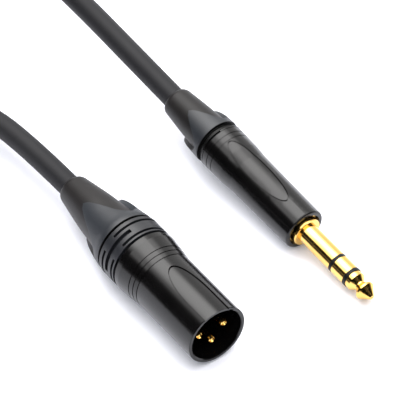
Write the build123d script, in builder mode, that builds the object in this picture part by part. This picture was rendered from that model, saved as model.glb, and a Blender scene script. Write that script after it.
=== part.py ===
"""Balanced audio lead: a three-pin XLR plug on one end and a 6.35 mm three-pole jack plug on the other.

The two plugs lie side by side on the floor (z = 0) and their cable is wound into a tied coil behind them.
Each plug is built along its own lane: s runs along the plug's axis, 0 at its front face and growing
towards the nose, and r is the distance from that axis. All lengths are in millimetres.
"""
from build123d import *
from math import cos, pi, radians, sin
import os

# ---- cable ----
CABLE_R = 3.5
CABLE_FIT = 0.03          # bores that grip the cable
CABLE_CLEAR = 0.35        # bores that slide along the cable

# ---- where the plugs lie ----
XLR_FACE = (36.34, -21.17, 10.4)
JACK_FACE = (15.44, 24.93, 6.58)
JACK_HEADING = 2.0        # degrees, seen from above
JACK_PITCH = 5.8          # degrees, nose down

# ---- XLR plug ----
SHELL_R = 9.5
SHELL_REAR_R = 10.4
SHELL_BORE_R = 8.35
SHELL_END = -35.4
INSERT_FRONT = -16.0
INSERT_BACK = -24.0
PIN_R = 1.2
PIN_ROOT_R = 1.6          # inside the insert
PIN_COLLAR = 0.6          # rings of the insert round the pins
PIN_CIRCLE_R = 4.2
PIN_TIP = -2.5
RING_R = 10.35
XLR_BOOT_FRONT = -43.6
XLR_BOOT_END = -71.7
XLR_NECK_R = 8.36
XLR_FINS_FROM_UP = 33.0   # degrees about the axis, away from the other plug

# ---- jack plug ----
FINGER_R = 3.175
FINGER_TIP = 30.5
COLLAR_R = 4.6
BARREL_END = -39.6
BARREL_BORE_R = 6.04
JACK_BOOT_FRONT = -41.0
JACK_BOOT_END = -61.2
JACK_NECK_R = 6.0
JACK_FINS_FROM_UP = 25.0

# ---- boots: screw back by whole turns ----
THREAD_LENGTH = 5.0
FIN_COUNT = 3
GAP = 0.3                 # between faces of pieces that move apart

# ---- put-away coil ----
COIL_CENTRE = (-167.5, -16.2)
COIL_R = 36.0             # to the middle of the turns
COIL_HALF_WIDTH = 12.25
COIL_HEIGHT = 13.1
TIE_THICK = 1.0
TIE_WIDTH = 16.0
TIE_ANGLE = 180.0

# ---- cable routes outside the plugs, hand-laid ----
XLR_ROUTE = [
    (-58.0, -21.17, 10.4),
    (-83.0, -24.6, 8.6),
    (-106.0, -33.6, 5.0),
    (-128.5, -47.6, 3.8),
]
JACK_ROUTE = [
    (-66.09, 22.35, 14.87),
    (-94.0, 23.4, 14.6),
    (-122.0, 25.2, 11.2),
]
XLR_ROUTE_END = (-149.1, -58.4, 3.6)
JACK_ROUTE_END = (-149.5, 27.2, 9.6)


def lane(face, heading=0.0, pitch=0.0):
    """Plane with x along a plug's axis towards its nose, y up and its origin on the front face."""
    h = radians(heading)
    p = radians(pitch)
    along = (cos(p) * cos(h), cos(p) * sin(h), -sin(p))
    return Plane(origin=face, x_dir=along, z_dir=(sin(h), -cos(h), 0))


def spun(lane_plane, turn):
    """The same lane with its y turned about the axis, from up towards the lane's right-hand side."""
    t = radians(turn)
    side = lane_plane.x_dir.cross(lane_plane.y_dir)
    radial = lane_plane.y_dir * cos(t) + side * sin(t)
    return Plane(origin=lane_plane.origin, x_dir=lane_plane.x_dir, z_dir=lane_plane.x_dir.cross(radial))


def across(lane_plane, s, turn=0.0):
    """Plane square to a lane at station s: x points up, or is turned from it, and z to the nose."""
    here = lane_plane.from_local_coords(Vector(s, 0, 0))
    return Plane(origin=here, x_dir=spun(lane_plane, turn).y_dir, z_dir=lane_plane.x_dir)


def lane_axis(lane_plane):
    return Axis(lane_plane.origin, lane_plane.x_dir)


XLR = lane(XLR_FACE)
JACK = lane(JACK_FACE, JACK_HEADING, JACK_PITCH)


def save(part, label):
    part.label = label
    os.makedirs("parts", exist_ok=True)
    export_step(part, "parts/" + label + ".step")


def turned(lane_plane, outline, arc=360.0, mode=Mode.ADD):
    """Turn a closed outline of (s, r) points about the lane's axis, inside a BuildPart."""
    with BuildSketch(lane_plane) as profile:
        with BuildLine():
            Polyline(*outline, close=True)
        make_face()
    revolve(profile.sketch, axis=lane_axis(lane_plane), revolution_arc=arc, mode=mode)


def skin_layer(lane_plane, floor, top_r):
    """Solid of revolution between a floor line of (s, r) points and an outer radius."""
    ends = [(floor[-1][0], top_r), (floor[0][0], top_r)]
    face = make_face(Polyline(*floor, *ends, close=True))
    return revolve(lane_plane * face, axis=lane_axis(lane_plane), revolution_arc=360)


def on_skin(lane_plane, s, turn, shape, layer):
    """The piece of a skin layer under a flat shape that faces outwards, turned about the axis."""
    face = across(lane_plane, s, turn)
    flat = Plane(origin=face.origin, x_dir=face.z_dir, z_dir=face.x_dir)
    return extrude(flat * shape, amount=20.0, dir=flat.z_dir) & layer


# ---------------------------------------------------------------- XLR plug


TONGUE_HALF = 4.2
TONGUE_STRAIGHT = 9.0
TONGUE_ARCH = 12.8


def tongue(inset=0.0):
    """Flat tongue that runs back from the shell's front rim and ends in an arch."""
    half_width = TONGUE_HALF - inset
    shape = Pos(-TONGUE_STRAIGHT, 0) * Ellipse(TONGUE_ARCH - inset, half_width)
    return shape + Pos(-TONGUE_STRAIGHT / 2 + 1, 0) * Rectangle(TONGUE_STRAIGHT + 2, 2 * half_width)


def tongue_layer(floor_r):
    back = -TONGUE_STRAIGHT - TONGUE_ARCH - 1
    return skin_layer(XLR, [(back, floor_r), (2, floor_r)], SHELL_R + 2)


def xlr_shell():
    taper_front = -25.5
    taper_back = -33.4
    lip_back = INSERT_FRONT + 0.8
    chamfer = 0.15
    panel_r = SHELL_R - 0.28
    line = 0.35
    panel = on_skin(XLR, 0, 0, tongue(), tongue_layer(panel_r))
    edge_line = on_skin(XLR, 0, 0, tongue() - tongue(line), tongue_layer(panel_r - 0.25))
    with BuildPart() as shell:
        outline = [
            (SHELL_END, SHELL_BORE_R + 0.05),
            (SHELL_END, SHELL_REAR_R - 0.2),
            (SHELL_END + 0.3, SHELL_REAR_R),
            (taper_back, SHELL_REAR_R),
            (taper_front, SHELL_R),
            (-chamfer, SHELL_R),
            (0, SHELL_R - chamfer),
            (0, SHELL_BORE_R + 0.25),
            (-0.25, SHELL_BORE_R),
            (lip_back, SHELL_BORE_R),
            (lip_back, SHELL_BORE_R - 0.5),
            (INSERT_FRONT, SHELL_BORE_R - 0.5),
            (INSERT_FRONT, SHELL_BORE_R + 0.05),
        ]
        turned(XLR, outline)
        # three fine rings round the taper
        for s in (-29.0, -27.3, -25.6):
            r = SHELL_REAR_R + (SHELL_R - SHELL_REAR_R) * (s - taper_back) / (taper_front - taper_back)
            turned(XLR, [(s - 0.16, r - 0.16), (s + 0.16, r - 0.16), (s + 0.16, r + 1), (s - 0.16, r + 1)],
                   mode=Mode.SUBTRACT)
        # tongue-shaped panel, a step deep, open at the front rim, with a fine line along its edge
        add(panel, mode=Mode.SUBTRACT)
        add(edge_line, mode=Mode.SUBTRACT)
        # small key notch inside the rim
        notch = across(XLR, 0, -35)
        with BuildSketch(notch):
            with Locations((SHELL_BORE_R + 0.1, 0)):
                Rectangle(0.9, 1.6)
        extrude(amount=-3.0, mode=Mode.SUBTRACT)
    save(shell.part, "xlr_shell")


def xlr_insert():
    with BuildPart() as insert:
        outline = [(INSERT_BACK, 0), (INSERT_BACK, 8.3), (INSERT_FRONT, 8.3), (INSERT_FRONT, 0)]
        turned(XLR, outline)
        with BuildSketch(across(XLR, INSERT_FRONT)):
            for angle in (90, 270, 180):
                with PolarLocations(PIN_CIRCLE_R, 1, start_angle=angle):
                    Circle(PIN_ROOT_R + 0.02)
        extrude(amount=INSERT_BACK - INSERT_FRONT, mode=Mode.SUBTRACT)
        # raised rings round the pin holes
        with BuildSketch(across(XLR, INSERT_FRONT)):
            for angle in (90, 270, 180):
                with PolarLocations(PIN_CIRCLE_R, 1, start_angle=angle):
                    Circle(PIN_ROOT_R + 0.7)
                    Circle(PIN_ROOT_R + 0.02, mode=Mode.SUBTRACT)
        extrude(amount=PIN_COLLAR)
    save(insert.part, "xlr_insert")


def xlr_pins():
    cup_end = INSERT_BACK - 4.8
    for number, angle in ((1, 90), (2, 270), (3, 180)):
        a = radians(angle)
        centre = XLR.from_local_coords(Vector(0, PIN_CIRCLE_R * cos(a), PIN_CIRCLE_R * sin(a)))
        own = lane(centre)
        with BuildPart() as pin:
            outline = [
                (cup_end, 0),
                (cup_end, PIN_R + 0.25),
                (INSERT_BACK, PIN_R + 0.25),
                (INSERT_BACK, PIN_ROOT_R),
                (INSERT_FRONT + PIN_COLLAR, PIN_ROOT_R),
                (INSERT_FRONT + PIN_COLLAR, PIN_R),
                (PIN_TIP - 0.8, PIN_R),
                (PIN_TIP - 0.2, PIN_R - 0.2),
                (PIN_TIP, PIN_R - 0.42),
                (PIN_TIP - 0.5, PIN_R - 0.7),
                (PIN_TIP - 0.6, 0),
            ]
            turned(own, outline)
            # open solder cup
            with BuildSketch(across(own, cup_end)):
                Circle(PIN_R - 0.15)
                with Locations((1.5, 0)):
                    Rectangle(3.0, 2 * (PIN_R - 0.15))
            extrude(amount=3.4, mode=Mode.SUBTRACT)
        save(pin.part, "xlr_pin_" + str(number))


def chuck(lane_plane, label, front, collar_r, collar_len, body_r, jaws_end, hollow_r, hollow_end):
    """Collet that grips the cable: a collar, a body and a split, tapered tail."""
    grip_r = CABLE_R + CABLE_FIT
    with BuildPart() as collet:
        outline = [
            (front, hollow_r),
            (front, collar_r),
            (front - collar_len, collar_r),
            (front - collar_len, body_r),
            (jaws_end + 7.0, body_r),
            (jaws_end, grip_r + 0.5),
            (jaws_end, grip_r),
            (hollow_end, grip_r),
            (hollow_end, hollow_r),
        ]
        turned(lane_plane, outline)
        with BuildSketch(across(lane_plane, jaws_end)):
            with PolarLocations(0, 2, angular_range=180):
                Rectangle(4 * body_r, 1.0)
        extrude(amount=9.0, mode=Mode.SUBTRACT)
    save(collet.part, label)


def coding_ring():
    front = SHELL_END - GAP
    back = XLR_BOOT_FRONT + GAP
    groove_depth = 1.2
    rebate = 0.35
    bridge_at = 48.0
    bridge = 27.0
    bore = XLR_NECK_R + 0.04
    with BuildPart() as ring:
        outline = [
            (back, bore),
            (back, RING_R - groove_depth),
            (back + rebate, RING_R - groove_depth),
            (back + rebate, RING_R),
            (front - rebate, RING_R),
            (front - rebate, RING_R - groove_depth),
            (front, RING_R - groove_depth),
            (front, bore),
        ]
        turned(XLR, outline)
        # two grooves, each broken by two plain bridges
        for middle in (-41.4, -37.1):
            for turn in (bridge_at + bridge / 2, bridge_at + bridge / 2 + 180):
                ring_groove(middle, 0.85, groove_depth, turn, 180 - bridge)
        # a wider slot in the band between the bridges, on each side
        for turn in (8.0, 188.0):
            ring_groove(-39.4, 1.3, groove_depth, turn, 86.0)
    save(ring.part, "xlr_coding_ring")


def ring_groove(middle, width, depth, turn, arc):
    """Part-circle groove in the coding ring, inside its BuildPart."""
    start = middle - width / 2
    end = middle + width / 2
    floor_r = RING_R - depth
    cut = [(start, floor_r), (end, floor_r), (end, RING_R + 1), (start, RING_R + 1)]
    turned(spun(XLR, turn), cut, arc=arc, mode=Mode.SUBTRACT)


def boot(lane_plane, label, stations, neck, skin, recess, fins_from_up):
    """Soft boot with a threaded neck: a cone with raised fins between scalloped recesses.

    stations: rim, tail end and the rear face of the plug body that the neck screws into.
    neck: outer and inner radius. skin: (s, r) along the fins, from the tail to the rim.
    recess: (s, r) along the cone under the fins.
    """
    front, end, body_end = stations
    neck_r, neck_bore = neck
    neck_front = body_end + THREAD_LENGTH
    bore = CABLE_R + CABLE_CLEAR
    tail_r = skin[0][1]
    cuts = scallops(lane_plane, recess, fins_from_up)
    with BuildPart() as part:
        outline = [
            (end, bore),
            (end, tail_r - 0.75),
            (end + 0.5, tail_r - 0.25),
            *skin,
            (front, skin[-1][1] - 0.25),
            (front, neck_r),
            (neck_front, neck_r),
            (neck_front, neck_bore),
            (front - 3.0, neck_bore),
            (front - 12.5, bore),
        ]
        turned(lane_plane, outline)
        add(cuts, mode=Mode.SUBTRACT)
    save(part.part, label)


def scallops(lane_plane, recess, fins_from_up):
    """The skin taken off between the fins: tongue-shaped slots, wide at the tail and round in front."""
    back_s, back_r = recess[0]
    front_s = recess[-1][0]
    wide = back_r * 0.78
    nose_r = back_r * 0.26
    layer = skin_layer(lane_plane, [*recess, (front_s + 3, recess[-1][1] + 0.3)], back_r + 9)
    slot = make_face(
        Polyline(
            (back_s, -wide),
            (front_s - 2.2 * nose_r, -nose_r),
            (front_s - 2.2 * nose_r, nose_r),
            (back_s, wide),
            close=True,
        )
    )
    slot += Pos(front_s - 2.2 * nose_r, 0) * Ellipse(2.2 * nose_r, nose_r)
    cuts = []
    for index in range(FIN_COUNT):
        turn = fins_from_up + 360.0 * (index + 0.5) / FIN_COUNT
        cuts.append(on_skin(lane_plane, 0, turn, slot, layer))
    return cuts


# ---------------------------------------------------------------- jack plug


def jack_barrel():
    rear_r = 7.5
    waist_back = -30.5
    waist_back_r = 7.32
    badge_turn = 8.8
    badge_mid = -21.0
    badge_shape = Ellipse(13.6, 3.35)
    line = 0.4
    badge_floor = [(-36, 7.07), (-30.5, 6.99), (-26.3, 6.65), (-5, 6.4)]
    badge = on_skin(JACK, 0, badge_turn, Pos(badge_mid, 0) * badge_shape, skin_layer(JACK, badge_floor, 9))
    badge_top = [(s, r + 0.41) for s, r in badge_floor]
    inner = on_skin(JACK, 0, badge_turn, Pos(badge_mid, 0) * Ellipse(13.6 - line, 3.35 - line),
                    skin_layer(JACK, badge_floor, 9) - skin_layer(JACK, badge_top, 9.5))
    with BuildPart() as barrel:
        with BuildSketch(JACK) as profile:
            with BuildLine():
                Polyline(
                    (BARREL_END, BARREL_BORE_R),
                    (BARREL_END, rear_r - 0.2),
                    (BARREL_END + 0.25, rear_r),
                    (waist_back, waist_back_r),
                    (-26.3, 6.98),
                    (0, 6.66),
                    (0, 5.35),
                    (-3.0, 5.35),
                    (-3.0, BARREL_BORE_R),
                    close=True,
                )
            make_face()
            fillet(profile.vertices().group_by(lane_axis(JACK))[-1], 0.62)
        revolve(axis=lane_axis(JACK))
        for s in (-38.8, -36.8, -34.9):
            r = rear_r + (waist_back_r - rear_r) * (s - BARREL_END) / (waist_back - BARREL_END)
            turned(JACK, [(s - 0.14, r - 0.14), (s + 0.14, r - 0.14), (s + 0.14, r + 1), (s - 0.14, r + 1)],
                   mode=Mode.SUBTRACT)
        # shallow notch in the rear edge, across the top
        notch_end = BARREL_END + 0.8
        notch = [(BARREL_END - 1, 5), (notch_end, 5), (notch_end, 9), (BARREL_END - 1, 9)]
        turned(spun(JACK, 7), notch, arc=44, mode=Mode.SUBTRACT)
        # oval badge: a fine line cut round a plain field that stands a little proud
        add(badge, mode=Mode.SUBTRACT)
        add(inner)
    save(barrel.part, "jack_barrel")


def jack_contacts():
    """The finger from outside in: sleeve, insulator, ring contact, insulator, tip rod."""
    sleeve_end = 14.6
    ring_start = 15.8
    ring_end = 20.8
    tip_start = 22.0
    tip_r = 3.0
    with BuildPart() as sleeve:
        outline = [
            (-10.5, 2.3),
            (-10.5, 3.0),
            (-4.6, 3.0),
            (-4.6, 5.9),
            (-3.05, 5.9),
            (-3.05, 5.1),
            (-1.2, 5.1),
            (-1.2, COLLAR_R),
            (0.9, COLLAR_R),
            (1.2, COLLAR_R - 0.12),
            (1.3, COLLAR_R - 0.4),
            (1.3, FINGER_R),
            (sleeve_end, FINGER_R),
            (sleeve_end, 2.3),
        ]
        turned(JACK, outline)
        tag(JACK, -19.5, -10.0, 2.65, 180)
    save(sleeve.part, "jack_sleeve")
    with BuildPart() as outer_insulator:
        outline = [
            (-11.5, 1.72),
            (-11.5, 2.28),
            (sleeve_end, 2.28),
            (sleeve_end, FINGER_R),
            (ring_start, FINGER_R),
            (ring_start, 1.72),
        ]
        turned(JACK, outline)
    save(outer_insulator.part, "jack_insulator_outer")
    with BuildPart() as ring:
        outline = [
            (-13.0, 1.2),
            (-13.0, 1.7),
            (ring_start, 1.7),
            (ring_start, FINGER_R),
            (ring_end, FINGER_R),
            (ring_end, 1.2),
        ]
        turned(JACK, outline)
        tag(JACK, -18.5, -12.5, 1.45, 60)
    save(ring.part, "jack_ring_contact")
    with BuildPart() as inner_insulator:
        outline = [
            (-14.0, 0.72),
            (-14.0, 1.18),
            (ring_end, 1.18),
            (ring_end, FINGER_R),
            (tip_start, FINGER_R),
            (tip_start, 0.72),
        ]
        turned(JACK, outline)
    save(inner_insulator.part, "jack_insulator_inner")
    with BuildPart() as tip:
        with BuildSketch(JACK) as profile:
            with BuildLine():
                Polyline(
                    (-15.0, 0),
                    (-15.0, 0.7),
                    (tip_start, 0.7),
                    (tip_start, tip_r),
                    (tip_start + 1.5, tip_r),
                    (25.1, 1.75),
                    (25.5, 1.75),
                    (27.0, tip_r),
                    (27.6, tip_r),
                    (FINGER_TIP, 0.75),
                    (FINGER_TIP, 0),
                    close=True,
                )
            make_face()
            nose = profile.vertices().sort_by(Axis(JACK.origin, JACK.x_dir))[-2:]
            fillet(nose.sort_by_distance(JACK.origin)[-1], 0.45)
        revolve(axis=lane_axis(JACK))
        tag(JACK, -19.0, -14.5, 0.35, 300)
    save(tip.part, "jack_tip")


def tag(lane_plane, back, front, r, turn):
    """Flat solder tag that runs back from a contact's tail, inside a BuildPart."""
    thick = 0.5
    face = across(lane_plane, back, turn)
    with BuildSketch(face) as blade:
        with Locations((r, 0)):
            Rectangle(thick, 1.6)
    extrude(blade.sketch, amount=front - back, dir=lane_plane.x_dir)


def jack_bush():
    with BuildPart() as bush:
        outline = [(-9.8, 3.02), (-9.8, 5.95), (-4.65, 5.95), (-4.65, 3.02)]
        turned(JACK, outline)
    save(bush.part, "jack_bush")


def gap_ring():
    bore = JACK_NECK_R + 0.04
    outer_r = 6.6
    front = BARREL_END - GAP
    back = JACK_BOOT_FRONT + GAP
    with BuildPart() as ring:
        turned(JACK, [(back, bore), (back, outer_r), (front, outer_r), (front, bore)])
    save(ring.part, "jack_gap_ring")


# ---------------------------------------------------------------- cable


def cable_end(lane_plane, label, front, back):
    """The stripped end of the cable, held by the collet."""
    with BuildPart() as stub:
        turned(lane_plane, [(back, 0), (back, CABLE_R), (front, CABLE_R), (front, 0)])
    save(stub.part, label)


def conductors(lane_plane, prefix, back, front, ends, core_r):
    """Insulated cores from the cable's cut face to each contact: (name, angle, r at the contact)."""
    start_r = 1.5
    for name, angle, r in ends:
        a = radians(angle)
        points = [
            lane_plane.from_local_coords(Vector(s, q * cos(a), q * sin(a)))
            for s, q in (
                (back, start_r),
                (back + 1.6, start_r),
                (front - 1.4, r),
                (front, r),
            )
        ]
        with BuildPart() as core:
            with BuildLine() as path:
                FilletPolyline(*points, radius=0.7)
            with BuildSketch(Plane(origin=points[0], z_dir=lane_plane.x_dir)):
                Circle(core_r)
            sweep(path=path.line)
        save(core.part, prefix + name)


def free_tube(label, points):
    """Tube along straight runs joined by arcs as large as the runs allow."""
    knots = [Vector(*p) for p in points]
    radii = []
    for before, here, after in zip(knots, knots[1:], knots[2:]):
        turn = (here - before).get_angle(after - here)
        shorter = min((here - before).length, (after - here).length)
        radii.append(0.45 * shorter / abs(sin(radians(turn) / 2) / cos(radians(turn) / 2)))
    with BuildPart() as tube:
        with BuildLine() as path:
            FilletPolyline(*knots, radius=radii)
        with BuildSketch(Plane(origin=knots[0], z_dir=knots[1] - knots[0])):
            Circle(CABLE_R)
        sweep(path=path.line)
    length = path.wires()[0].length
    ratio = tube.part.volume / (pi * CABLE_R**2 * length)
    print(label, "radii", [round(r) for r in radii], "length", round(length, 1), "volume ratio", round(ratio, 4))
    save(tube.part, label)


def coil_section(grow, base):
    """Half-section of the coil's outer shape, grown by a skin, in (distance, height)."""
    wide = COIL_HALF_WIDTH + grow
    top = COIL_HEIGHT + grow
    return [
        (COIL_R - wide, base + 1.5),
        (COIL_R - wide, 6.5),
        (COIL_R - wide + 3.5, top),
        (COIL_R + wide - 3.5, top),
        (COIL_R + wide, 6.5),
        (COIL_R + wide, base + 1.5),
        (COIL_R + wide - 1.5, base),
        (COIL_R - wide + 1.5, base),
    ]


def coil_and_tie():
    half_angle = TIE_WIDTH / COIL_R / 2 * 180 / pi
    axis = Axis((COIL_CENTRE[0], COIL_CENTRE[1], 0), (0, 0, 1))
    start = radians(TIE_ANGLE - half_angle)
    here = Plane(
        origin=(COIL_CENTRE[0], COIL_CENTRE[1], 0),
        x_dir=(cos(start), sin(start), 0),
        z_dir=(sin(start), -cos(start), 0),
    )
    with BuildPart() as tie:
        with BuildSketch(here) as strap:
            with BuildLine():
                Polyline(*coil_section(TIE_THICK, 0), close=True)
            make_face()
            with BuildLine():
                Polyline(*coil_section(0, TIE_THICK), close=True)
            make_face(mode=Mode.SUBTRACT)
        revolve(strap.sketch, axis=axis, revolution_arc=2 * half_angle)
    save(tie.part, "cable_tie")
    with BuildPart() as coil:
        with BuildSketch(here):
            with BuildLine():
                Polyline(*coil_section(0, 0), close=True)
            make_face()
        revolve(axis=axis)
        # the tie's strap is drawn into the underside of the turns
        add(tie.part, mode=Mode.SUBTRACT)
        with BuildSketch(here) as under:
            with Locations((COIL_R, TIE_THICK / 2)):
                Rectangle(2 * COIL_HALF_WIDTH, TIE_THICK)
        revolve(under.sketch, axis=axis, revolution_arc=2 * half_angle, mode=Mode.SUBTRACT)
    save(coil.part, "cable_coil")


# ---------------------------------------------------------------- build everything

XLR_CABLE_BACK = -53.4
JACK_CABLE_BACK = -50.4


def build_xlr():
    xlr_shell()
    xlr_insert()
    xlr_pins()
    chuck(XLR, "xlr_chuck", INSERT_BACK, 8.35, 5.8, 6.8, -52.6, 6.6, -31.0)
    coding_ring()
    boot(XLR, "xlr_boot", (XLR_BOOT_FRONT, XLR_BOOT_END, SHELL_END), (XLR_NECK_R, 7.15),
         skin=[(-70.3, 4.9), (-59.9, 6.6), (-58.8, 8.15), (-55.2, 8.75), (-51.2, 9.2), (-47.2, 9.7),
               (-45.2, 10.05), (-43.85, 10.1)],
         recess=[(-59.9, 6.6), (-55.0, 7.15), (-51.0, 7.65), (-46.7, 8.45)],
         fins_from_up=XLR_FINS_FROM_UP)
    cable_end(XLR, "xlr_cable_end", -33.5, XLR_CABLE_BACK)
    conductors(XLR, "xlr_conductor_", -33.5, -28.0,
               (("1", 90, PIN_CIRCLE_R), ("2", 270, PIN_CIRCLE_R), ("3", 180, PIN_CIRCLE_R)), 0.6)


def build_jack():
    jack_barrel()
    jack_contacts()
    jack_bush()
    chuck(JACK, "jack_chuck", -24.5, 5.9, 3.0, 4.9, -49.6, 4.6, -27.0)
    gap_ring()
    boot(JACK, "jack_boot", (JACK_BOOT_FRONT, JACK_BOOT_END, BARREL_END), (JACK_NECK_R, 5.2),
         skin=[(-59.8, 4.8), (-51.9, 5.6), (-51.0, 6.9), (-48.3, 7.15), (-45.0, 7.35), (-42.5, 7.5),
               (-41.25, 7.5)],
         recess=[(-51.9, 5.6), (-47.5, 5.95), (-42.9, 6.4)],
         fins_from_up=JACK_FINS_FROM_UP)
    cable_end(JACK, "jack_cable_end", -26.0, JACK_CABLE_BACK)
    conductors(JACK, "jack_conductor_", -26.0, -18.0,
               (("sleeve", 180, 3.45), ("ring", 60, 2.25), ("tip", 300, 1.15)), 0.55)


def build_cable():
    xlr_start = XLR.from_local_coords(Vector(XLR_CABLE_BACK, 0, 0))
    jack_start = JACK.from_local_coords(Vector(JACK_CABLE_BACK, 0, 0))
    free_tube("cable_xlr_side", [tuple(xlr_start), *XLR_ROUTE, XLR_ROUTE_END])
    free_tube("cable_jack_side", [tuple(jack_start), *JACK_ROUTE, JACK_ROUTE_END])
    coil_and_tie()


build_xlr()
build_jack()
build_cable()
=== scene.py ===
"""Balanced audio lead: looks for the XLR plug, the jack plug and their cable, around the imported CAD."""

from math import cos, pi, radians, sin, sqrt

import bpy
from mathutils import Matrix, Quaternion, Vector


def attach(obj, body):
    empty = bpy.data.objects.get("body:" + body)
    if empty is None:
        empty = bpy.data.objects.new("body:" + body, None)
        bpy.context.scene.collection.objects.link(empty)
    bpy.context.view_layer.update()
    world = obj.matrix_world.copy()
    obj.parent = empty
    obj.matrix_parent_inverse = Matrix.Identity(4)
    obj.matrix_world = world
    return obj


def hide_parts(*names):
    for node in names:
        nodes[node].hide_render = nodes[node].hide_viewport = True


MM = 0.001

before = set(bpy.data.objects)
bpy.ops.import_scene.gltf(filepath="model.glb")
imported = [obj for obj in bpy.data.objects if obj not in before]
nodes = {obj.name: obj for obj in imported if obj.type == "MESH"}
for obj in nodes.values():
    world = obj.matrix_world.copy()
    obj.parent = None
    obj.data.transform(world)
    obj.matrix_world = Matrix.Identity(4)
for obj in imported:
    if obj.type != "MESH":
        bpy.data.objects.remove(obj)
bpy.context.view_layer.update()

# ---- the plugs' lanes, as in the CAD: s along the axis, 0 at the front face ----
XLR_FACE = (36.34, -21.17, 10.4)
JACK_FACE = (15.44, 24.93, 6.58)
JACK_HEADING = 2.0
JACK_PITCH = 5.8

# ---- cable ----
CABLE_R = 3.5
XLR_CABLE_BACK = -53.4
JACK_CABLE_BACK = -50.4
COIL_CENTRE = (-167.5, -16.2)
COIL_R = 36.0
TURN_POINTS = 24
LAYER_TURNS = 2.5
SPREAD = 8.75               # from the middle turn to the outermost
LOW_Z = 3.5
HIGH_Z = 9.56
COIL_START = -90.0          # direction, from the coil's centre, in which the cable comes in
XLR_ROUTE = [
    (-58.0, -21.17, 10.4),
    (-83.0, -24.6, 8.6),
    (-106.0, -33.6, 5.0),
    (-128.5, -47.6, 3.8),
    (-149.1, -58.4, 3.6),
]
JACK_ROUTE = [
    (-66.09, 22.35, 14.87),
    (-94.0, 23.4, 14.6),
    (-122.0, 25.2, 11.2),
    (-149.5, 27.2, 9.6),
]


# ---------------------------------------------------------------- node helpers


class Nodes:
    """A material's or world's node tree, with short calls to add and join nodes."""

    def __init__(self, owner):
        owner.use_nodes = True
        self.tree = owner.node_tree
        self.tree.nodes.clear()

    def add(self, kind, **values):
        """New node; names of inputs set sockets (value or another node's socket), other names set attributes."""
        node = self.tree.nodes.new("ShaderNode" + kind)
        for name, value in values.items():
            if hasattr(node, name):
                setattr(node, name, value)
        for name, value in values.items():
            label = name.replace("_", " ")
            if label in node.inputs:
                self.feed(node.inputs[label], value)
        return node

    def feed(self, socket, value):
        if isinstance(value, bpy.types.NodeSocket):
            self.tree.links.new(value, socket)
        else:
            socket.default_value = value

    def math(self, operation, a, b=0.0, clamp=False):
        node = self.add("Math", operation=operation, use_clamp=clamp)
        self.feed(node.inputs[0], a)
        self.feed(node.inputs[1], b)
        return node.outputs[0]

    def ramp(self, value, low, high, to_low=0.0, to_high=1.0):
        """Smooth step of a value from low to high."""
        node = self.add("MapRange", interpolation_type="SMOOTHSTEP")
        for socket, number in zip(node.inputs, (value, low, high, to_low, to_high)):
            self.feed(socket, number)
        return node.outputs[0]

    def noise(self, scale, detail=4.0, stretch=(1, 1, 1), rough=0.5):
        place = self.add("TexCoord")
        mapping = self.add("Mapping", Vector=place.outputs["Object"], Scale=stretch)
        made = self.add("TexNoise", Vector=mapping.outputs[0], Scale=scale, Detail=detail, Roughness=rough)
        return made.outputs[0]

    def blend(self, factor, a, b):
        node = self.add("Mix", data_type="RGBA")
        colours = [s for s in node.inputs if s.type == "RGBA"]
        self.feed(node.inputs[0], factor)
        self.feed(colours[0], (*a, 1.0))
        self.feed(colours[1], (*b, 1.0))
        return [s for s in node.outputs if s.type == "RGBA"][0]


def material(name, dark, light, rough, grain, bump, mottle=60.0, stretch=(1, 1, 1), **shader):
    """Surface whose colour drifts from dark to light, and its roughness with it, under a fine grain.

    rough: lowest and highest roughness. grain: noise scale per metre. bump: its height in metres.
    """
    made = bpy.data.materials.new(name)
    tree = Nodes(made)
    drift = tree.noise(mottle, 5.0)
    fine = tree.noise(grain, 3.0, stretch)
    colour = tree.blend(tree.ramp(drift, 0.35, 0.65), dark, light)
    roughness = tree.ramp(tree.math("MULTIPLY_ADD", drift, 0.6), 0.1, 0.6, rough[0], rough[1])
    relief = tree.add("Bump", Strength=1.0, Distance=bump, Height=fine)
    surface = tree.add("BsdfPrincipled", Base_Color=colour, Roughness=roughness, Normal=relief.outputs[0])
    for label, value in shader.items():
        surface.inputs[label.replace("_", " ")].default_value = value
    out = tree.add("OutputMaterial")
    tree.tree.links.new(surface.outputs[0], out.inputs["Surface"])
    return made


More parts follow.
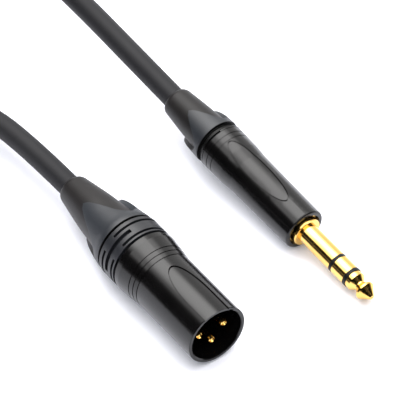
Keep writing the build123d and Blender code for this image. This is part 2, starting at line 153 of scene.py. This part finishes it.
MATERIALS = {
    "black_metal": material("satin_black_metal", (0.0016, 0.0015, 0.0017), (0.003, 0.0028, 0.003),
                            (0.13, 0.19), 5200.0, 0.0000025, IOR=1.39),
    "gold": material("gold_plate", (0.76, 0.48, 0.13), (0.84, 0.55, 0.17), (0.1, 0.16), 1500.0, 0.000001,
                     Metallic=1.0),
    "boot": material("boot_moulding", (0.0125, 0.0148, 0.019), (0.0165, 0.0192, 0.0245), (0.38, 0.44),
                     3800.0, 0.000012, IOR=1.48),
    "recess": material("boot_moulding_recess", (0.0046, 0.0037, 0.0038), (0.0075, 0.0061, 0.0063), (0.4, 0.48),
                       3800.0, 0.00001, IOR=1.38),
    "ring": material("ring_moulding", (0.0085, 0.0095, 0.0125), (0.012, 0.013, 0.017), (0.32, 0.4),
                     4200.0, 0.000008, IOR=1.48),
    "black_plastic": material("insert_plastic", (0.0015, 0.0015, 0.0015), (0.0025, 0.0025, 0.0025), (0.35, 0.45),
                              3000.0, 0.000008, IOR=1.3),
    "chuck_plastic": material("chuck_plastic", (0.02, 0.02, 0.021), (0.03, 0.03, 0.031), (0.4, 0.5),
                              3000.0, 0.000008),
    "jacket": material("cable_jacket", (0.006, 0.006, 0.008), (0.0085, 0.0085, 0.0105), (0.5, 0.6),
                       3000.0, 0.00002, mottle=35.0, IOR=1.36),
    "red": material("core_red", (0.4, 0.02, 0.015), (0.48, 0.03, 0.02), (0.35, 0.45), 2500.0, 0.00001),
    "blue": material("core_blue", (0.02, 0.06, 0.32), (0.03, 0.08, 0.4), (0.35, 0.45), 2500.0, 0.00001),
    "bare": material("core_copper", (0.75, 0.36, 0.2), (0.82, 0.42, 0.26), (0.25, 0.35), 2500.0, 0.00002,
                     Metallic=1.0),
    "tie": material("tie_fabric", (0.01, 0.01, 0.011), (0.02, 0.02, 0.022), (0.8, 0.95), 2600.0, 0.00025),
}

DRESS = {
    "black_metal": ("xlr_shell", "jack_barrel"),
    "gold": ("xlr_pin_1", "xlr_pin_2", "xlr_pin_3", "jack_sleeve", "jack_ring_contact", "jack_tip"),
    "ring": ("xlr_coding_ring",),
    "black_plastic": ("xlr_insert", "jack_gap_ring", "jack_insulator_outer", "jack_insulator_inner", "jack_bush"),
    "chuck_plastic": ("xlr_chuck", "jack_chuck"),
    "jacket": ("xlr_cable_end", "jack_cable_end"),
    "red": ("xlr_conductor_2", "jack_conductor_tip"),
    "blue": ("xlr_conductor_3", "jack_conductor_ring"),
    "bare": ("xlr_conductor_1", "jack_conductor_sleeve"),
}
for look, names in DRESS.items():
    for name in names:
        for material_slot in nodes[name].material_slots:
            material_slot.link = "OBJECT"
            material_slot.material = MATERIALS[look]


# ---------------------------------------------------------------- places


def lane(face, heading=0.0, pitch=0.0):
    """4x4 matrix of a plug's lane in metres: x along the axis to the nose, y up, z to the far side."""
    h = radians(heading)
    p = radians(pitch)
    along = Vector((cos(p) * cos(h), cos(p) * sin(h), -sin(p)))
    side = Vector((sin(h), -cos(h), 0))
    up = side.cross(along)
    turn = Matrix((along, up, side)).transposed().to_4x4()
    return Matrix.Translation(Vector(face) * MM) @ turn


XLR = lane(XLR_FACE)
JACK = lane(JACK_FACE, JACK_HEADING, JACK_PITCH)


def on_axis(where, s):
    """Point at s on a lane's axis, in metres."""
    return where @ Vector((s * MM, 0, 0))


# ---------------------------------------------------------------- cable


def coil_points():
    """Control points of the put-away coil: turns wound in on the floor, then out again on top of them."""
    points = []
    turns = 2 * LAYER_TURNS + 0.5
    for index in range(round(turns * TURN_POINTS) + 1):
        t = index / TURN_POINTS
        if t <= LAYER_TURNS:
            r = COIL_R + SPREAD - 2 * CABLE_R * t
            z = LOW_Z
        elif t < LAYER_TURNS + 0.5:
            r = COIL_R - SPREAD
            z = LOW_Z + (HIGH_Z - LOW_Z) * (t - LAYER_TURNS) / 0.5
        else:
            r = COIL_R - SPREAD + 2 * CABLE_R * (t - LAYER_TURNS - 0.5)
            z = HIGH_Z
        a = radians(COIL_START) - 2 * pi * t
        points.append((COIL_CENTRE[0] + r * cos(a), COIL_CENTRE[1] + r * sin(a), z))
    return points


def cable(*with_pieces):
    """The whole cable as one tube, from the XLR plug through the coil to the jack plug."""
    exit_point = on_axis(XLR, XLR_CABLE_BACK)
    route = [exit_point]
    route += [Vector(p) * MM for p in (*XLR_ROUTE, *coil_points(), *reversed(JACK_ROUTE))]
    route.append(on_axis(JACK, JACK_CABLE_BACK))
    data = bpy.data.curves.new("cable", "CURVE")
    data.dimensions = "3D"
    data.bevel_depth = CABLE_R * MM
    data.bevel_resolution = 7
    data.resolution_u = 8
    data.use_fill_caps = True
    spline = data.splines.new("NURBS")
    spline.points.add(len(route) - 1)
    for point, place in zip(spline.points, route):
        point.co = (*place, 1.0)
    spline.order_u = 3
    spline.use_endpoint_u = True
    spline.use_smooth = True
    made = bpy.data.objects.new("cable", data)
    bpy.context.scene.collection.objects.link(made)
    data.materials.append(MATERIALS["jacket"])
    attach(made, "lead")
    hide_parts("cable_xlr_side", "cable_jack_side", "cable_coil")


# ---------------------------------------------------------------- detailed pieces


def smooth_step(value, low, high):
    t = min(max((value - low) / (high - low), 0.0), 1.0)
    return t * t * (3 - 2 * t)


def along(points, s):
    """Smooth radius at station s of a curve through (s, r) points with growing s."""
    if s <= points[0][0]:
        return points[0][1]
    if s >= points[-1][0]:
        return points[-1][1]
    index = max(i for i, p in enumerate(points) if p[0] <= s)
    index = min(index, len(points) - 2)
    (s1, r1), (s2, r2) = points[index], points[index + 1]
    before = points[max(index - 1, 0)]
    after = points[min(index + 2, len(points) - 1)]
    t = (s - s1) / (s2 - s1)
    slope1 = (r2 - before[1]) / (s2 - before[0]) * (s2 - s1)
    slope2 = (after[1] - r1) / (after[0] - s1) * (s2 - s1)
    return ((2 * t**3 - 3 * t**2 + 1) * r1 + (t**3 - 2 * t**2 + t) * slope1
            + (-2 * t**3 + 3 * t**2) * r2 + (t**3 - t**2) * slope2)


def mesh_piece(name, verts, faces, looks, picks=None):
    """Smooth-shaded mesh object; picks gives each face's material index."""
    mesh = bpy.data.meshes.new(name)
    mesh.from_pydata([tuple(v) for v in verts], [], faces)
    for look in looks:
        mesh.materials.append(MATERIALS[look])
    mesh.polygons.foreach_set("use_smooth", [True] * len(mesh.polygons))
    if picks:
        mesh.polygons.foreach_set("material_index", picks)
    mesh.update()
    made = bpy.data.objects.new(name, mesh)
    bpy.context.scene.collection.objects.link(made)
    return made


def ring_mesh(where, rings):
    """Vertices and faces of a closed ring of rings in a plug's lane, each a list of (s, r, angle) points."""
    around = len(rings[0])
    verts = []
    for ring in rings:
        for s, r, a in ring:
            verts.append(where @ Vector((s * MM, r * MM * cos(a), r * MM * sin(a))))
    faces = []
    for i in range(len(rings)):
        j = (i + 1) % len(rings)
        for k in range(around):
            m = (k + 1) % around
            faces.append((i * around + k, i * around + m, j * around + m, j * around + k))
    return verts, faces


FIN_COUNT = 3
SECTOR_HALF = pi / FIN_COUNT
SIDE_STEPS = 20             # grid steps across half a fin, and across half a recess
LEAST_HALF = radians(1.2)   # the grid's fins and recesses never close up quite
STEP_HALF = 0.13            # half width of the step at a fin's edge
STEP_SHARE = 0.4            # the step takes at most this share of a narrow fin or recess
# across the step, in half widths: (offset from the edge, rise from the recess's floor at 0 to the fin's top at 1)
STEP_PROFILE = ((-1.6, 1.0), (-1.0, 0.99), (-0.6, 0.9), (0.4, -0.1), (1.0, -0.2), (1.8, -0.14))
FIN_FROM_RISE = 0.3         # a face counts as fin above this rise
FLARE_POWER = 0.85          # below 1, so that a fin's sides bow out a little
ROUND_TIP = 0.1             # share of a fin's length that its round tip takes
CLOSE_FROM = 0.72           # share of a fin's length where the slot beside it starts to close
SLOPE_STEP = 0.05
TAIL_PLAIN = 1.2            # length of the tail's rounded edge
TAIL_SPACING = 0.6
SHARP_FROM = 26.0


class Boot:
    """Soft boot: a cone with raised tongue-shaped fins that point to the tail, and a neck inside."""

    def __init__(self, tail, front, tip, slot_end, cone, fin, turn, neck, bore, tip_half, slot_half):
        self.tail = tail
        self.front = front
        self.tip = tip
        self.slot_end = slot_end
        self.cone = cone
        self.fin = fin
        self.turn = radians(turn)
        self.neck = neck
        self.bore = bore
        self.tip_half = radians(tip_half)
        self.slot_half = radians(slot_half)

    def fin_half(self, s):
        """Half angle of a fin at s: round at the tip, then wider towards the rim, where the slots end round."""
        share = min(max((s - self.tip) / (self.slot_end - self.tip), 0.0), 1.0)
        flare = SECTOR_HALF - self.slot_half - self.tip_half
        half = self.tip_half + flare * share**FLARE_POWER
        if share < ROUND_TIP:
            half *= sqrt(1 - (1 - share / ROUND_TIP) ** 2)
        if share > CLOSE_FROM:
            u = (share - CLOSE_FROM) / (1 - CLOSE_FROM)
            half = SECTOR_HALF - (SECTOR_HALF - half) * sqrt(1 - u * u)
        return min(max(half, LEAST_HALF), SECTOR_HALF - LEAST_HALF)

    def ring(self, s):
        """Points round the boot at s, and for each gap between them whether it is on a fin."""
        half = self.fin_half(s)
        low = along(self.cone, s)
        high = along(self.fin, s)
        slope = (self.fin_half(s + SLOPE_STEP) - self.fin_half(s - SLOPE_STEP)) / (2 * SLOPE_STEP) * low
        wide = STEP_HALF * sqrt(1 + slope * slope) / low
        reach = STEP_PROFILE[-1][0]
        inner = min(wide, STEP_SHARE * half)
        outer = min(wide, STEP_SHARE * (SECTOR_HALF - half))
        side = [((half + STEP_PROFILE[0][0] * inner) * k / SIDE_STEPS, 1.0) for k in range(SIDE_STEPS)]
        side += [(half + (inner if u < 0 else outer) * u, rise) for u, rise in STEP_PROFILE]
        start = half + reach * outer
        side += [(start + (SECTOR_HALF - start) * k / SIDE_STEPS, 0.0) for k in range(1, SIDE_STEPS + 1)]
        if s < self.tip:
            side = [(off, 0.0) for off, _ in side]
        if s >= self.slot_end:
            side = [(off, 1.0) for off, _ in side]
        sector = [(-off, rise) for off, rise in side[:0:-1]] + side[:-1]
        points = []
        picks = []
        for index in range(FIN_COUNT):
            middle = self.turn + 2 * SECTOR_HALF * index
            for off, rise in sector:
                points.append((s, low + (high - low) * rise, middle + off))
                picks.append(0 if rise > FIN_FROM_RISE else 1)
        return points, picks

    def stations(self):
        """Places of the rings, close together where fins start and slots end."""
        near_tip = (-0.1, 0.0, 0.02, 0.06, 0.12, 0.2, 0.32, 0.48, 0.68, 0.92)
        near_end = (-0.8, -0.55, -0.36, -0.22, -0.12, -0.05, -0.01, 0.08)
        plain_run = self.tip - 0.5 - self.tail - TAIL_PLAIN
        places = [self.tail + TAIL_PLAIN + TAIL_SPACING * k for k in range(int(plain_run / TAIL_SPACING) + 1)]
        places += [self.tip + x for x in near_tip]
        run = self.slot_end - self.tip - 2.1
        places += [self.tip + 1.2 + run * k / 40 for k in range(41)]
        places += [self.slot_end + x for x in near_end]
        rest = self.front - 0.5 - self.slot_end
        places += [self.slot_end + rest * k / 8 for k in range(2, 9)]
        return sorted(places)

    def build(self, name, where, node, body):
        """The boot's mesh: rounded tail, finned cone, rim with its rebate, neck and bore."""
        rings = []
        picks = []
        for s in self.stations():
            points, ring_picks = self.ring(s)
            rings.append(points)
            picks += ring_picks
        tail_r = along(self.cone, self.tail + TAIL_PLAIN)
        back = [(self.tail, self.bore), (self.tail, tail_r - 0.75), (self.tail + 0.08, tail_r - 0.5),
                (self.tail + 0.3, tail_r - 0.3), (self.tail + 0.7, tail_r - 0.12)]
        rim = along(self.fin, self.front)
        neck_r, neck_bore, neck_front = self.neck
        rebate = (rim - neck_r) * 0.6
        plain = [(self.front - 0.4, rim - 0.03), (self.front - 0.33, rim - 0.12),
                 (self.front - 0.32, rim - rebate), (self.front, rim - rebate),
                 (self.front, neck_r + 0.02), (self.front + 0.02, neck_r),
                 (neck_front - 0.3, neck_r), (neck_front, neck_r - 0.3),
                 (neck_front, neck_bore), (self.front - 3.0, neck_bore), (self.front - 12.5, self.bore)]
        first = [a for _, _, a in rings[0]]
        last = [a for _, _, a in rings[-1]]
        rings = [[(s, r, a) for a in first] for s, r in back] + rings
        rings += [[(s, r, a) for a in last] for s, r in plain]
        picks = [1] * (len(back) * len(first)) + picks + [2] * (len(plain) * len(last))
        verts, faces = ring_mesh(where, rings)
        made = mesh_piece(name, verts, faces, ("boot", "recess", "black_plastic"), picks)
        made.data.set_sharp_from_angle(angle=radians(SHARP_FROM))
        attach(made, body)
        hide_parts(node)
        return made


def boots():
    """Both plugs' boots."""
    Boot(tail=-71.7, front=-43.6, tip=-59.2, slot_end=-46.7,
         cone=[(-71.7, 4.64), (-70.3, 4.9), (-59.9, 6.6), (-55.0, 7.15), (-51.0, 7.65), (-46.7, 8.45),
               (-43.6, 9.9)],
         fin=[(-71.7, 4.64), (-70.3, 4.9), (-61.5, 7.7), (-58.6, 8.2), (-55.2, 8.75), (-51.2, 9.2),
              (-47.2, 9.7), (-45.2, 10.05), (-43.6, 10.1)],
         turn=33.0, neck=(8.36, 7.15, -30.4), bore=3.85, tip_half=5.0, slot_half=17.0,
         ).build("xlr_boot_moulding", XLR, "xlr_boot", "xlr_boot_body")
    Boot(tail=-61.2, front=-41.0, tip=-51.6, slot_end=-42.9,
         cone=[(-61.2, 4.62), (-59.8, 4.8), (-51.9, 5.6), (-47.5, 5.95), (-42.9, 6.4), (-41.0, 6.8)],
         fin=[(-61.2, 4.62), (-59.8, 4.8), (-53.5, 6.6), (-50.9, 6.95), (-48.3, 7.15), (-45.0, 7.35),
              (-42.5, 7.5), (-41.0, 7.5)],
         turn=25.0, neck=(6.0, 5.2, -34.6), bore=3.85, tip_half=4.0, slot_half=16.0,
         ).build("jack_boot_moulding", JACK, "jack_boot", "jack_boot_body")


boots()

TIE_WIDTH = 16.0
TIE_THICK = 0.9
TIE_ANGLE = 180.0
# outline of the strap round the turns: (distance from the middle turn, height)
TIE_LOOP = [(-13.1, 2.0), (-13.1, 6.0), (-12.6, 9.5), (-9.6, 13.6), (-3.5, 14.0), (3.5, 14.0), (9.6, 13.6),
            (12.6, 9.5), (13.1, 6.0), (13.1, 2.0), (11.6, 0.1), (4.0, 0.05), (-4.0, 0.05), (-11.6, 0.1)]
TIE_FLAP = [(14.0, 3.0), (14.0, 6.0), (13.4, 9.9), (10.2, 14.5), (3.5, 14.9), (-3.5, 14.9), (-6.5, 14.85)]
FLAP_WIDTH = TIE_WIDTH - 1.6
TIE_UNDER = 0.12            # height of the strap's under side
TIE_LEAST_Z = 0.02
STRAP_STATIONS = 15         # points across the strap
TAPER_ROWS = 5              # rows at a free end over which it narrows
WELT_FROM, WELT_FULL, WELT_RISE = 0.72, 0.8, 0.12   # along the half width, and in thicknesses
EDGE_FROM, EDGE_RUN, EDGE_DROP = 0.86, 0.14, 0.3


def rounded(points, closed, times=3):
    """Corners cut again and again, so that a run of straight lines becomes a smooth one."""
    for _ in range(times):
        out = [] if closed else [points[0]]
        pairs = list(zip(points, points[1:] + points[:1])) if closed else list(zip(points, points[1:]))
        for a, b in pairs:
            out.append(tuple(0.75 * x + 0.25 * y for x, y in zip(a, b)))
            out.append(tuple(0.25 * x + 0.75 * y for x, y in zip(a, b)))
        points = out if closed else out + [points[-1]]
    return points


def strap(name, outline, closed, width, thick, taper):
    """Band of cloth with soft welted edges, bent round a part of the coil."""
    line = rounded(outline, closed)
    count = len(line)
    verts = []
    for i, (out, z) in enumerate(line):
        before = line[i - 1] if closed or i else line[0]
        after = line[(i + 1) % count] if closed or i < count - 1 else line[-1]
        run = Vector((after[0] - before[0], after[1] - before[1])).normalized()
        normal = Vector((-run.y, run.x))
        half = width / 2
        if taper and not closed:
            half *= sqrt(max(1 - max(1 - min(i, count - 1 - i) / TAPER_ROWS, 0) ** 2 * 0.5, 0.05))
        section = []
        for k in range(STRAP_STATIONS):
            u = 2 * k / (STRAP_STATIONS - 1) - 1
            edge = max(abs(u) - EDGE_FROM, 0) / EDGE_RUN
            welt = WELT_RISE * smooth_step(abs(u), WELT_FROM, WELT_FULL) - EDGE_DROP * edge * edge
            section.append((u * half, thick * (1 + welt)))
        for face in (section, [(u, TIE_UNDER) for u, _ in reversed(section)]):
            for u, lift in face:
                place = (COIL_R + out + normal.x * (lift - thick), z + normal.y * (lift - thick))
                a = radians(TIE_ANGLE) + u / COIL_R
                verts.append(Vector((COIL_CENTRE[0] + place[0] * cos(a), COIL_CENTRE[1] + place[0] * sin(a),
                                     max(place[1], TIE_LEAST_Z))) * MM)
    ring = 2 * STRAP_STATIONS
    faces = []
    for i in range(count if closed else count - 1):
        j = (i + 1) % count
        for k in range(ring):
            m = (k + 1) % ring
            faces.append((i * ring + k, j * ring + k, j * ring + m, i * ring + m))
    if not closed:
        faces.append(tuple(reversed(range(ring))))
        faces.append(tuple((count - 1) * ring + k for k in range(ring)))
    made = mesh_piece(name, verts, faces, ("tie",))
    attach(made, "lead")
    return made


def tie():
    """Hook-and-loop strap round the coil: the loop and the end that lies over it."""
    loop = strap("tie_loop", TIE_LOOP[::-1], True, TIE_WIDTH, TIE_THICK, False)
    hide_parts("cable_tie")
    return loop, strap("tie_flap", TIE_FLAP[::-1], False, FLAP_WIDTH, TIE_THICK, True)


cable(*tie())


# ---------------------------------------------------------------- camera, floor, light

CAMERA_AZIMUTH = -34.365
CAMERA_ELEVATION = 45.5
CAMERA_ROLL = -1.76
CAMERA_TARGET = (-17.81, 11.48, 0.0)
CAMERA_DISTANCE = 1.0
CAMERA_LENS = 306.9
CAMERA_SENSOR = 36.0
FLOOR_HALF = 6.0            # metres
FLOOR_GLOW = 0.17           # lifts the floor to the near white of a bright studio


def camera():
    """Long lens, turned about the target on the floor between the plugs."""
    data = bpy.data.cameras.new("camera")
    data.lens = CAMERA_LENS
    data.sensor_width = CAMERA_SENSOR
    data.clip_start = 0.05
    data.clip_end = 50.0
    made = bpy.data.objects.new("camera", data)
    bpy.context.scene.collection.objects.link(made)
    a = radians(CAMERA_AZIMUTH)
    e = radians(CAMERA_ELEVATION)
    back = Vector((cos(e) * cos(a), cos(e) * sin(a), sin(e)))
    made.location = Vector(CAMERA_TARGET) * MM + back * CAMERA_DISTANCE
    made.rotation_mode = "QUATERNION"
    roll = Quaternion((0, 0, 1), radians(CAMERA_ROLL))
    made.rotation_quaternion = (-back).to_track_quat("-Z", "Y") @ roll
    bpy.context.scene.camera = made


def floor():
    """Plain pale floor."""
    mesh = bpy.data.meshes.new("floor")
    half = FLOOR_HALF
    mesh.from_pydata([(-half, -half, 0), (half, -half, 0), (half, half, 0), (-half, half, 0)], [],
                     [(0, 1, 2, 3)])
    made = bpy.data.objects.new("floor", mesh)
    bpy.context.scene.collection.objects.link(made)
    mesh.materials.append(material("floor", (0.8, 0.81, 0.87), (0.81, 0.82, 0.88), (0.8, 0.9), 40.0, 0.0,
                                   Emission_Color=(0.86, 0.9, 1.0, 1.0), Emission_Strength=FLOOR_GLOW))


def studio():
    """Soft studio as a sky: a large overhead box, a weaker glow on the far side, little on the near side."""
    world = bpy.data.worlds.new("studio")
    bpy.context.scene.world = world
    tree = Nodes(world)
    place = tree.add("TexCoord")
    parts = tree.add("SeparateXYZ", Vector=place.outputs["Generated"])
    height = parts.outputs[2]

    def lobe(azimuth, elevation, wide, narrow, power):
        """Round glow towards a direction, from nothing at the wide half angle to full at the narrow one."""
        a = radians(azimuth)
        e = radians(elevation)
        toward = tree.add("VectorMath", operation="DOT_PRODUCT")
        tree.feed(toward.inputs[0], place.outputs["Generated"])
        tree.feed(toward.inputs[1], (cos(e) * cos(a), cos(e) * sin(a), sin(e)))
        return tree.ramp(toward.outputs["Value"], cos(radians(wide)), cos(radians(narrow)), 0.0, power)

    overhead = tree.ramp(height, 0.64, 0.74, 0.0, 3.0)
    hot = lobe(172, 62, 28, 8, 4.8)
    far = lobe(118, 12, 58, 28, 1.35)
    haze = tree.ramp(height, 0.02, 0.08, 0.5, 0.0)
    total = tree.math("ADD", tree.math("ADD", overhead, hot), tree.math("ADD", far, haze))
    light = tree.add("Background", Color=(1.0, 0.99, 0.98, 1.0), Strength=total)
    out = tree.add("OutputWorld")
    tree.tree.links.new(light.outputs[0], out.inputs["Surface"])


camera()
floor()
studio()
bpy.context.scene.view_settings.view_transform = "Standard"
